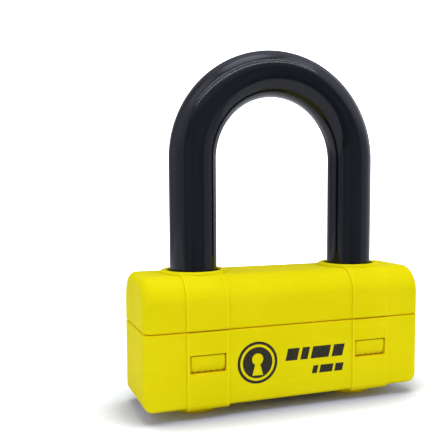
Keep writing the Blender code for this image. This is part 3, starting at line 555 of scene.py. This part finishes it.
def cover_block(bottom, top):
    """A cover's outside. bottom and top are (height, long edges' radius, end edges' radii, bands' rise)."""
    low, low_radius, low_ends, rise_below = bottom
    high, high_radius, high_ends, rise_above = top
    rings = []
    for x in stations():
        swell = band_swell(x)
        half_depth = HALF_DEPTH - end_inset(x, (CORNER_RADIUS,) * 2)
        z0 = low + end_inset(x, low_ends)
        z1 = high - end_inset(x, high_ends)
        back = []
        for y, z, normal_y, normal_z in section(half_depth, z0, z1, low_radius, high_radius):
            rise = rise_above if normal_z > 0 else rise_below
            back.append((x, y + swell * BAND_RISE * normal_y, z + swell * rise * normal_z))
        front = [(px, -py, pz) for px, py, pz in back[-2:0:-1]]
        rings.append(back + front)
    return loft(rings)


def cavity(bottom, top):
    """The hollow of a cover. bottom and top are (height, long edges' radius, end edges' radius)."""
    low, low_edge, low_end = bottom
    high, high_edge, high_end = top
    half_length = HALF_LENGTH - WALL
    half = end_stations(half_length, max(low_end, high_end), 8)
    rings = []
    for x in [-x for x in reversed(half)] + half:
        corner, rise, drop = (end_inset(x, (r, r), half_length) for r in (1.0 * MM, low_end, high_end))
        y = HALF_DEPTH - WALL - corner
        side = arc((y - low_edge, low + rise + low_edge), low_edge, -90, 0, 4)
        side += arc((y - high_edge, high - drop - high_edge), high_edge, 0, 90, 8)
        rings.append([(x, a, b) for a, b in side] + [(x, -a, b) for a, b in reversed(side)])
    return loft(rings)


def box_between(low, high):
    """A plain box from its lowest to its highest corner."""
    outline = [(low[1], low[2]), (high[1], low[2]), (high[1], high[2]), (low[1], high[2])]
    return loft([[(x, y, z) for y, z in outline] for x in (low[0], high[0])])


def snap_tongue(leg_x, side_y, seed):
    """A snap tongue, which stands inside the lower cover.

    Its barb fills the window, slopes in at the foot and has a ragged flash there.
    """
    foot_z = WINDOW_BOTTOM - 0.4 * MM
    root_z = SEAM + 1.2 * MM
    ledge = WINDOW_TOP - 0.3 * MM
    barb = HALF_DEPTH + BAND_RISE - 0.42 * MM
    crown = 0.3 * MM
    ease = 0.35 * MM                # how far the barb's two sides draw in
    steps = 56
    rings = []
    for i in range(steps + 1):
        x = -TONGUE_HALF_WIDTH + 2 * TONGUE_HALF_WIDTH * i / steps
        ragged = 0.16 * math.sin(i * 0.61 + seed) + 0.10 * math.sin(i * 1.7 + 2 * seed)
        ragged += 0.07 * math.sin(i * 2.9)
        tip = WINDOW_BOTTOM + (0.48 + ragged) * MM
        edge = ease * (1 - min(i, steps - i, 2) / 2)
        face = barb - edge
        half = [
            (TONGUE_INSIDE, foot_z),
            (TONGUE_OUTSIDE - 0.4 * MM, foot_z),
            (TONGUE_OUTSIDE + 0.1 * MM, tip - 0.3 * MM),
            (face - 1.15 * MM, tip),
            (face - 0.75 * MM, tip + 0.55 * MM),
            (face - 0.32 * MM, tip + 1.5 * MM),
            (face - 0.08 * MM, tip + 2.8 * MM),
            (face, tip + 4.2 * MM),
        ]
        half += arc((face - crown, ledge - crown - edge), crown, 0, 90, 3)
        half += [(TONGUE_OUTSIDE, ledge - edge), (TONGUE_OUTSIDE, root_z), (TONGUE_INSIDE, root_z)]
        rings.append([(leg_x + x, side_y * y, z) for y, z in half])
    return loft(rings)


def window_cutter(leg_x, side_y):
    """A window with small round corners and an eased outer edge. Its right end leans a little, as moulded."""
    corner = 0.45 * MM
    face = HALF_DEPTH + BAND_RISE
    lean = 0.132 * MM
    rings = []
    for depth, grow in (
        (HALF_DEPTH - WALL + 1.0 * MM, 0.0),
        (face - 0.25 * MM, 0.0),
        (face - 0.08 * MM, 0.07 * MM),
        (face, 0.25 * MM),
        (face + 1.0 * MM, 1.25 * MM),
    ):
        centre_x = WINDOW_HALF_WIDTH + grow - corner
        low, high = WINDOW_BOTTOM - grow, WINDOW_TOP + grow
        ring = []
        for side, centre_z, start in (
            (1, high - corner, 0),
            (-1, high - corner, 90),
            (-1, low + corner, 180),
            (1, low + corner, 270),
        ):
            for x, z in arc((side * centre_x, centre_z), corner, start, start + 90, 4):
                shift = -lean * (high - z) / (high - low) if x > 0 else 0.0
                ring.append((leg_x + x + shift, side_y * depth, z))
        rings.append(ring)
    return loft(rings)


def rim(leg_x):
    """Raised rim round a leg: a soft shoulder outside and a flat crown. rim_hole opens it."""
    shoulder = 1.1 * MM
    base = COVER_TOP - 1.6 * MM
    profile = [(0, base), (RIM_BASE_RADIUS, base), (RIM_BASE_RADIUS, RIM_TOP - shoulder)]
    profile += arc((RIM_BASE_RADIUS - shoulder, RIM_TOP - shoulder), shoulder, 0, 90, 8)
    profile += [(RIM_HOLE_RADIUS + 1.0 * MM, RIM_TOP), (0, RIM_TOP)]
    return turned(profile, 120, leg_x)


def rim_hole(leg_x):
    """The hole in a rim, from inside the cover to above it, with a rounded lip."""
    lip = 0.7 * MM
    past = 1.0 * MM
    profile = [(0, CAVITY_TOP - past), (RIM_HOLE_RADIUS, CAVITY_TOP - past)]
    profile += arc((RIM_HOLE_RADIUS + lip, RIM_TOP - lip), lip, 180, 90, 7)
    profile += [(RIM_HOLE_RADIUS + lip, RIM_TOP + past), (0, RIM_TOP + past)]
    return turned(profile, 120, leg_x)


def make_upper_cover():
    """The upper cover with its rims and its four snap tongues."""
    bottom = (SEAM + SEAM_GAP / 2, SEAM_RADIUS, (SEAM_RADIUS,) * 2, 0.0)
    top = (COVER_TOP, TOP_RADIUS, TOP_END_RADII, BAND_RISE)
    cover = new_object("upper_cover_shell", cover_block(bottom, top))
    inner_radius = TOP_RADIUS - WALL
    plain = 0.5 * MM
    hollow = cavity((SEAM - 4 * MM, plain, plain), (CAVITY_TOP, inner_radius, inner_radius))
    tools = [("hollow", hollow, "DIFFERENCE")]
    tools += [("rim", rim(side * LEG_X), "UNION") for side in (-1, 1)]
    for i, (side_x, side_y) in enumerate(((-1, -1), (1, -1), (-1, 1), (1, 1))):
        tools.append(("tongue", snap_tongue(side_x * LEG_X, side_y, 1.3 * i), "UNION"))
    tools += [("rim_hole", rim_hole(side * LEG_X), "DIFFERENCE") for side in (-1, 1)]
    carve(cover, tools)
    weigh_normals(cover)
    stand_for(cover, "upper_cover", "yellow_plastic")


def foot(leg_x):
    """A round foot with a rounded rim, run up into the cover's floor."""
    edge = FOOT_EDGE
    top = COVER_BOTTOM + 1.5 * MM
    profile = [(0, 0), (FOOT_RADIUS - edge, 0)]
    profile += arc((FOOT_RADIUS - edge, edge), edge, -90, 0, 8)[1:]
    profile += [(FOOT_RADIUS, top), (0, top)]
    return turned(profile, 96, leg_x)


def foot_well(leg_x):
    """The well inside a foot, which the leg's end stands in."""
    floor, chamfer, radius = 1.9 * MM, 0.6 * MM, 6.6 * MM
    top = CAVITY_BOTTOM + 1 * MM
    profile = [(0, floor), (radius - chamfer, floor), (radius, floor + chamfer), (radius, top), (0, top)]
    return turned(profile, 64, leg_x)


def keyhole_seat():
    """The stepped opening that the keyhole frame sits in, as two (name, mesh data, operation) tools."""
    low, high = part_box("keyhole_frame")
    gap = 0.3 * MM
    step = 2.0 * MM
    flange_bottom = COVER_BOTTOM + 1.4 * MM
    tools = []
    for name, inset, z0, z1, corner in (
        ("seat_low", step, COVER_BOTTOM - 2 * MM, flange_bottom + 0.5 * MM, 2.5 * MM),
        ("seat_high", 0.0, flange_bottom - gap, CAVITY_BOTTOM + 1 * MM, 3.0 * MM),
    ):
        grow = gap - inset
        outline = rounded_rectangle(low.x - grow, high.x + grow, low.y - grow, high.y + grow, corner + gap)
        tools.append((name, loft([[(x, y, z) for x, y in outline] for z in (z0, z1)]), "DIFFERENCE"))
    return tools


def tongue_pocket(leg_x, side_y):
    """Room for a snap tongue in the lower cover's wall, open at the top."""
    inner = HALF_DEPTH - WALL
    y0, y1 = sorted((side_y * (inner - 1.0 * MM), side_y * (inner + 1.9 * MM)))
    low = (leg_x - POCKET_HALF_WIDTH, y0, WINDOW_BOTTOM - 0.8 * MM)
    return box_between(low, (leg_x + POCKET_HALF_WIDTH, y1, SEAM + 2 * MM))


def make_lower_cover():
    """The lower cover with its feet, windows, tongue pockets and the opening for the keyhole frame."""
    bottom = (COVER_BOTTOM, LOW_RADIUS, LOW_END_RADII, BAND_RISE_BELOW)
    top = (SEAM - SEAM_GAP / 2, SEAM_RADIUS, (SEAM_RADIUS,) * 2, 0.0)
    cover = new_object("lower_cover_shell", cover_block(bottom, top))
    tools = [("foot", foot(side * LEG_X), "UNION") for side in (-1, 1)]
    plain = 0.5 * MM
    hollow = cavity((CAVITY_BOTTOM, 1.2 * MM, 2.8 * MM), (SEAM + 4 * MM, plain, plain))
    tools.append(("hollow", hollow, "DIFFERENCE"))
    for side_x in (-1, 1):
        for side_y in (-1, 1):
            tools.append(("pocket", tongue_pocket(side_x * LEG_X, side_y), "DIFFERENCE"))
            tools.append(("window", window_cutter(side_x * LEG_X, side_y), "DIFFERENCE"))
    for side in (-1, 1):
        tools.append(("well", foot_well(side * LEG_X), "DIFFERENCE"))
        tools.append(("mould_line", mould_line(side), "DIFFERENCE"))
    carve(cover, tools + keyhole_seat())
    weigh_normals(cover)
    stand_for(cover, "lower_cover", "yellow_plastic")


def mould_line(side):
    """A hairline down the middle of an end face, where the mould's halves met."""
    root = side * (HALF_LENGTH - 0.06 * MM)
    mouth = side * (HALF_LENGTH + 0.2 * MM)
    outline = [(root, 0.0), (mouth, 0.22 * MM), (mouth, -0.22 * MM)]
    heights = (COVER_BOTTOM + LOW_END_RADII[side > 0], SEAM - 2.0 * MM)
    return loft([[(x, y, z) for x, y in outline] for z in heights])


def rounded_rectangle(x0, x1, y0, y1, radius):
    corners = (
        (x1 - radius, y1 - radius, 0),
        (x0 + radius, y1 - radius, 90),
        (x0 + radius, y0 + radius, 180),
        (x1 - radius, y0 + radius, 270),
    )
    outline = []
    for x, y, start in corners:
        outline += arc((x, y), radius, start, start + 90, 8)
    return outline


# ---------------------------------------------------------------- shackle
def loop_line(heights, bend_steps):
    """(x, z, direction) along the centre line: up the left leg, round the bend and down the right leg."""
    up = math.pi / 2
    line = [(-LEG_X, z, up) for z in heights]
    for i in range(bend_steps + 1):
        angle = math.pi * i / bend_steps
        line.append((-LEG_X * math.cos(angle), LOOP_CENTRE + LEG_X * math.sin(angle), up - angle))
    return line + [(LEG_X, z, -up) for z in reversed(heights)]


def swept(line, radii, sides):
    """Rings of the given radii, square to a centre line."""
    angles = [2 * math.pi * i / sides for i in range(sides)]
    back = Vector((0, 1, 0))
    rings = []
    for (x, z, direction), radius in zip(line, radii):
        across = Vector((-math.sin(direction), 0, math.cos(direction)))
        centre = Vector((x, 0, z))
        rings.append([centre + radius * (math.cos(a) * across + math.sin(a) * back) for a in angles])
    return rings


def both_legs(leg_radii, line, radius):
    """Radii along a whole centre line: the legs' ends as given, and one radius between them."""
    return leg_radii + [radius] * (len(line) - 2 * len(leg_radii)) + leg_radii[::-1]


def make_sleeve():
    """The vinyl sleeve, with rounded ends and a coordinate that runs along it for its draw lines."""
    bottom = SLEEVE_LOW.z
    inner_radius = BAR_RADIUS + 0.2 * MM
    lip = 0.35 * MM
    sides = 72
    angles = [math.pi / 2 * i / 4 for i in range(5)]
    heights = [bottom + lip * (1 - math.cos(a)) for a in angles]
    lip_radii = [SLEEVE_RADIUS - lip * (1 - math.sin(a)) for a in angles]
    heights += [bottom + (LOOP_CENTRE - bottom) * i / 12 for i in range(1, 12)]
    line = loop_line(heights, 72)
    outer = swept(line, both_legs(lip_radii, line, SLEEVE_RADIUS), sides)
    inner = swept(line, [inner_radius] * len(line), sides)
    sleeve = new_object("shackle_sleeve_skin", loft(outer + inner[::-1], closed=True), sharp_degrees=50)
    name_along(sleeve)
    stand_for(sleeve, "shackle_sleeve", "black_vinyl")


def name_along(obj):
    """Writes a UV map called along: turns round the bar across, and decimetres along it."""
    layer = obj.data.uv_layers.new(name="along")
    for polygon in obj.data.polygons:
        places = [bar_place(obj.data.vertices[i].co) for i in polygon.vertices]
        first = places[0][0]
        for loop_index, (turn, length) in zip(polygon.loop_indices, places):
            if turn - first > 0.5:
                turn -= 1.0
            if first - turn > 0.5:
                turn += 1.0
            layer.data[loop_index].uv = (turn, length)


def bar_place(point):
    """(turn round the bar, decimetres along it) of a point on the shackle."""
    if point.z < LOOP_CENTRE:
        side = math.copysign(1, point.x)
        turn = math.atan2(point.y, -side * (point.x - side * LEG_X))
        length = (point.z - LOOP_CENTRE) if side < 0 else math.pi * LEG_X + LOOP_CENTRE - point.z
    else:
        radial = math.hypot(point.x, point.z - LOOP_CENTRE)
        turn = math.atan2(point.y, LEG_X - radial)
        length = LEG_X * math.atan2(point.z - LOOP_CENTRE, -point.x)
    return turn / (2 * math.pi), 10 * length


def make_bar():
    """The steel bar inside the sleeve, with turned-down feet and a square notch for each bolt."""
    foot_radius = 6.1 * MM
    edge = 1.2 * MM
    shoulder, taper = 9.2 * MM, 2.6 * MM        # where the bar starts to widen, and over what height
    angles = [math.pi / 2 * i / 6 for i in range(7)]
    heights = [SHACKLE_LOW.z + edge * (1 - math.cos(a)) for a in angles] + [shoulder]
    radii = [foot_radius - edge * (1 - math.sin(a)) for a in angles] + [foot_radius]
    for i in range(1, 9):
        heights.append(shoulder + taper * i / 8)
        radii.append(foot_radius + (BAR_RADIUS - foot_radius) * smooth_step(i / 8, 0, 1))
    heights += [20 * MM + 9.5 * MM * i for i in range(9)]
    line = loop_line(heights, 64)
    bar = new_object("shackle_bar", loft(swept(line, both_legs(radii, line, BAR_RADIUS), 64)))
    bolt_low, bolt_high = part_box("right_bolt")
    clearance, depth, past = 0.7 * MM, 4.9 * MM, 2 * MM
    inner_x = LEG_X - BAR_RADIUS
    tools = []
    for side in (-1, 1):
        x0, x1 = sorted((side * (inner_x - past), side * (inner_x + depth)))
        half_depth = BAR_RADIUS + past
        low = (x0, -half_depth, bolt_low.z - clearance)
        tools.append(("notch", box_between(low, (x1, half_depth, bolt_high.z + clearance)), "DIFFERENCE"))
    carve(bar, tools)
    weigh_normals(bar)
    stand_for(bar, "shackle", "hardened_steel")


# ---------------------------------------------------------------- CAD pieces with broken edges
def break_edges(node, slot, width):
    """A copy of a CAD piece with a small round on every sharp edge."""
    mesh_data = bmesh.new()
    mesh_data.from_mesh(frame["nodes"][node].data)
    bmesh.ops.remove_doubles(mesh_data, verts=mesh_data.verts, dist=0.002 * MM)
    flat = math.radians(0.6)
    bmesh.ops.dissolve_limit(mesh_data, angle_limit=flat, verts=mesh_data.verts, edges=mesh_data.edges)
    fold = math.radians(SHARP_DEGREES)
    sharp = [e for e in mesh_data.edges if len(e.link_faces) == 2 and e.calc_face_angle() > fold]
    bmesh.ops.bevel(
        mesh_data,
        geom=sharp,
        offset=width,
        offset_type="OFFSET",
        segments=2,
        profile=0.5,
        affect="EDGES",
        clamp_overlap=True,
    )
    piece = new_object(f"{node}_finished", mesh_data, sharp_degrees=38)
    weigh_normals(piece)
    stand_for(piece, node, slot)


def make_cad_pieces():
    """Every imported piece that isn't rebuilt here, with its edges broken."""
    rebuilt = {"upper_cover", "lower_cover", "shackle", "shackle_sleeve"}
    for entry in frame["record"]["subparts"]:
        node, slot = entry["node"], entry["material_slot"]
        if node not in rebuilt:
            break_edges(node, slot, 0.10 * MM)


# ---------------------------------------------------------------- print on the front
def flat_print(name, outlines, x0, z0):
    """Thin film shapes on the front face, placed from the point (x0, z0).

    Each is (outline, hole or None), and both are lists of (x, z) in millimetres.
    """
    film = 0.04 * MM
    face = -HALF_DEPTH
    whole = bmesh.new()
    for outline, hole in outlines:
        front, back = [], []
        for ring in [outline] if hole is None else [outline, hole]:
            for side, y in ((front, face - film), (back, face + film)):
                side.append([whole.verts.new((x0 + x * MM, y, z0 + z * MM)) for x, z in ring])
        for near, far in zip(front, back):
            for i in range(len(near)):
                j = (i + 1) % len(near)
                whole.faces.new((near[i], near[j], far[j], far[i]))
        for side in (front, back):
            if hole is None:
                whole.faces.new(side[0])
            else:
                fill_between(whole, side)
    obj = new_object(name, whole, sharp_degrees=30)
    obj.data.materials.append(ink())
    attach(obj, "crossbar")


def fill_between(mesh_data, rings):
    """Fills the face between an outline and its hole."""
    edges = []
    for ring in rings:
        for i, vert in enumerate(ring):
            pair = (vert, ring[(i + 1) % len(ring)])
            edges.append(mesh_data.edges.get(pair) or mesh_data.edges.new(pair))
    bmesh.ops.triangle_fill(mesh_data, edges=edges, use_beauty=True)


def circle(radius):
    return arc((0, 0), radius, 0, 360, 72)[:-1]


def make_print():
    """A round badge with a keyhole in it, and two rows of slanted blocks. The numbers are millimetres."""
    keyhole = arc((0, 1.4), 2.5, -62, 242, 28) + [(-2.4, -5.4), (2.4, -5.4)]
    badge = [(circle(8.9), circle(7.7)), (circle(6.6), keyhole)]
    flat_print("print_badge", badge, -16.1 * MM, COVER_BOTTOM + 16.5 * MM)
    upper_row = ((0.0, 5.4), (6.9, 3.4), (11.8, 8.6), (21.9, 5.2))
    lower_row = ((12.4, 2.4), (15.9, 6.2), (23.2, 3.9))
    blocks = []
    for row, z, height in ((upper_row, 0.0, 5.2), (lower_row, -6.6, 3.4)):
        blocks += [(slanted_block(x, z, width, height), None) for x, width in row]
    flat_print("print_blocks", blocks, -3.5 * MM, COVER_BOTTOM + 15.9 * MM)


def slanted_block(x, z, width, height):
    """An outline that leans to the right, in the units that it is given in."""
    slant = 0.24 * height
    return [(x, z), (x + width, z), (x + width + slant, z + height), (x + slant, z + height)]


# ---------------------------------------------------------------- studio
def make_floor():
    """A card just below the feet. It reaches further to the left of the lock than to the right."""
    gap = 0.02 * MM
    bpy.ops.mesh.primitive_plane_add(size=1, location=(-0.45, 0.10, -gap))
    floor = bpy.context.object
    floor.scale = (1.6, 0.7, 1)
    floor.name = "floor"
    floor.data.materials.append(pale_floor())


def area_light(name, place, target, size, power):
    """A rectangular light at a place, turned to a target and unseen by the camera."""
    data = bpy.data.lights.new(name, "AREA")
    data.shape = "RECTANGLE"
    data.size, data.size_y = size
    data.energy = power
    obj = bpy.data.objects.new(name, data)
    bpy.context.scene.collection.objects.link(obj)
    obj.location = place
    obj.rotation_euler = (Vector(target) - Vector(place)).to_track_quat("-Z", "Y").to_euler()
    obj.visible_camera = False


def tent_patch(g, around, height, soft, strength):
    """A brighter or darker patch of the tent, with soft edges.

    around and height are each (value, (start, end)), with the limits in degrees.
    """
    patch = strength
    for value, (start, end) in (around, height):
        for edge, way in ((start, 1), (end, -1)):
            middle, half = math.radians(edge), math.radians(soft) / 2 * way
            patch = g.times(g.span(value, middle - half, middle + half), patch)
    return patch


def make_world():
    """A light tent, darker in front of the lock. The camera itself sees it as plain white."""
    tent_strength = 0.90
    whitening = 2.0                 # added for the camera's own rays
    world = bpy.data.worlds.new("studio")
    bpy.context.scene.world = world
    world.use_nodes = True
    g = Tree(world.node_tree, "Generated")
    turn = g.math("ARCTAN2", g.part_of_place("X"), g.times(g.part_of_place("Y"), -1.0))
    off_front = g.math("ABSOLUTE", turn)
    rise = g.math("ARCSINE", g.part_of_place("Z"))
    total = tent_strength
    # Each patch: which angle it is measured by, its limits round the lock and in height, how soft its edges
    # are, all in degrees, and how much brighter or darker than the tent it is.
    for around, sides, heights, soft, strength in (
        (turn, (-57, 41), (-100, 30), 5, -0.49),
        (turn, (-57, 41), (30, 45), 5, -0.14),
        (turn, (-28, 22), (12, 30), 10, -0.06),
        (turn, (-59, -53), (4, 40), 5, -0.12),
        (turn, (-50, -24), (-8, 16), 8, 0.14),
        (turn, (-60, 60), (-26, -9), 6, -0.16),
        (turn, (-58, 39), (46, 66), 4, 1.20),
        (off_front, (-10, 200), (74, 100), 14, 2.80),
        (turn, (-115, -66), (42, 66), 12, 1.00),
        (turn, (-105, -66), (14, 46), 16, 0.35),
        (turn, (46, 96), (48, 64), 8, 1.30),
        (turn, (45, 82), (14, 50), 12, 0.70),
        (off_front, (128, 200), (-10, 54), 20, -0.52),
        (turn, (100, 120), (0, 24), 8, 0.30),
    ):
        total = g.math("ADD", tent_patch(g, (around, sides), (rise, heights), soft, strength), total)
    seen = g.nodes.new("ShaderNodeLightPath").outputs["Is Camera Ray"]
    background = g.nodes["Background"]
    g.feed(background.inputs["Strength"], g.math("ADD", total, g.times(seen, whitening)))
    background.inputs["Color"].default_value = (0.97, 1.0, 1.12, 1.0)


def make_lights():
    """A pair of long tubes overhead, in front of the lock, and the plain view transform."""
    middle = (0, 0, 0.12)
    size = (1.80, 0.024)
    area_light("tube_front", (-0.02, -0.62, 1.00), middle, size, 3.50)
    area_light("tube_back", (-0.02, -0.42, 1.09), middle, size, 2.30)
    bpy.context.scene.view_settings.view_transform = "Standard"


def make_camera():
    """Stands to the left of the lock's front and above its crossbar, and looks a little down."""
    data = bpy.data.cameras.new("camera")
    camera = bpy.data.objects.new("camera", data)
    bpy.context.scene.collection.objects.link(camera)
    data.sensor_width = 36.0
    data.lens = 55.42
    data.shift_x = -0.1001
    data.shift_y = 0.0468
    data.clip_start = 0.01
    camera.location = Vector((-118.2, -283.8, 96.0)) * MM
    heading, tilt = math.radians(22.16), math.radians(5.02)
    camera.rotation_euler = (math.pi / 2 - tilt, 0, -heading)
    bpy.context.scene.camera = camera


make_upper_cover()
make_lower_cover()
make_sleeve()
make_bar()
make_cad_pieces()
make_print()
make_floor()
make_world()
make_lights()
make_camera()
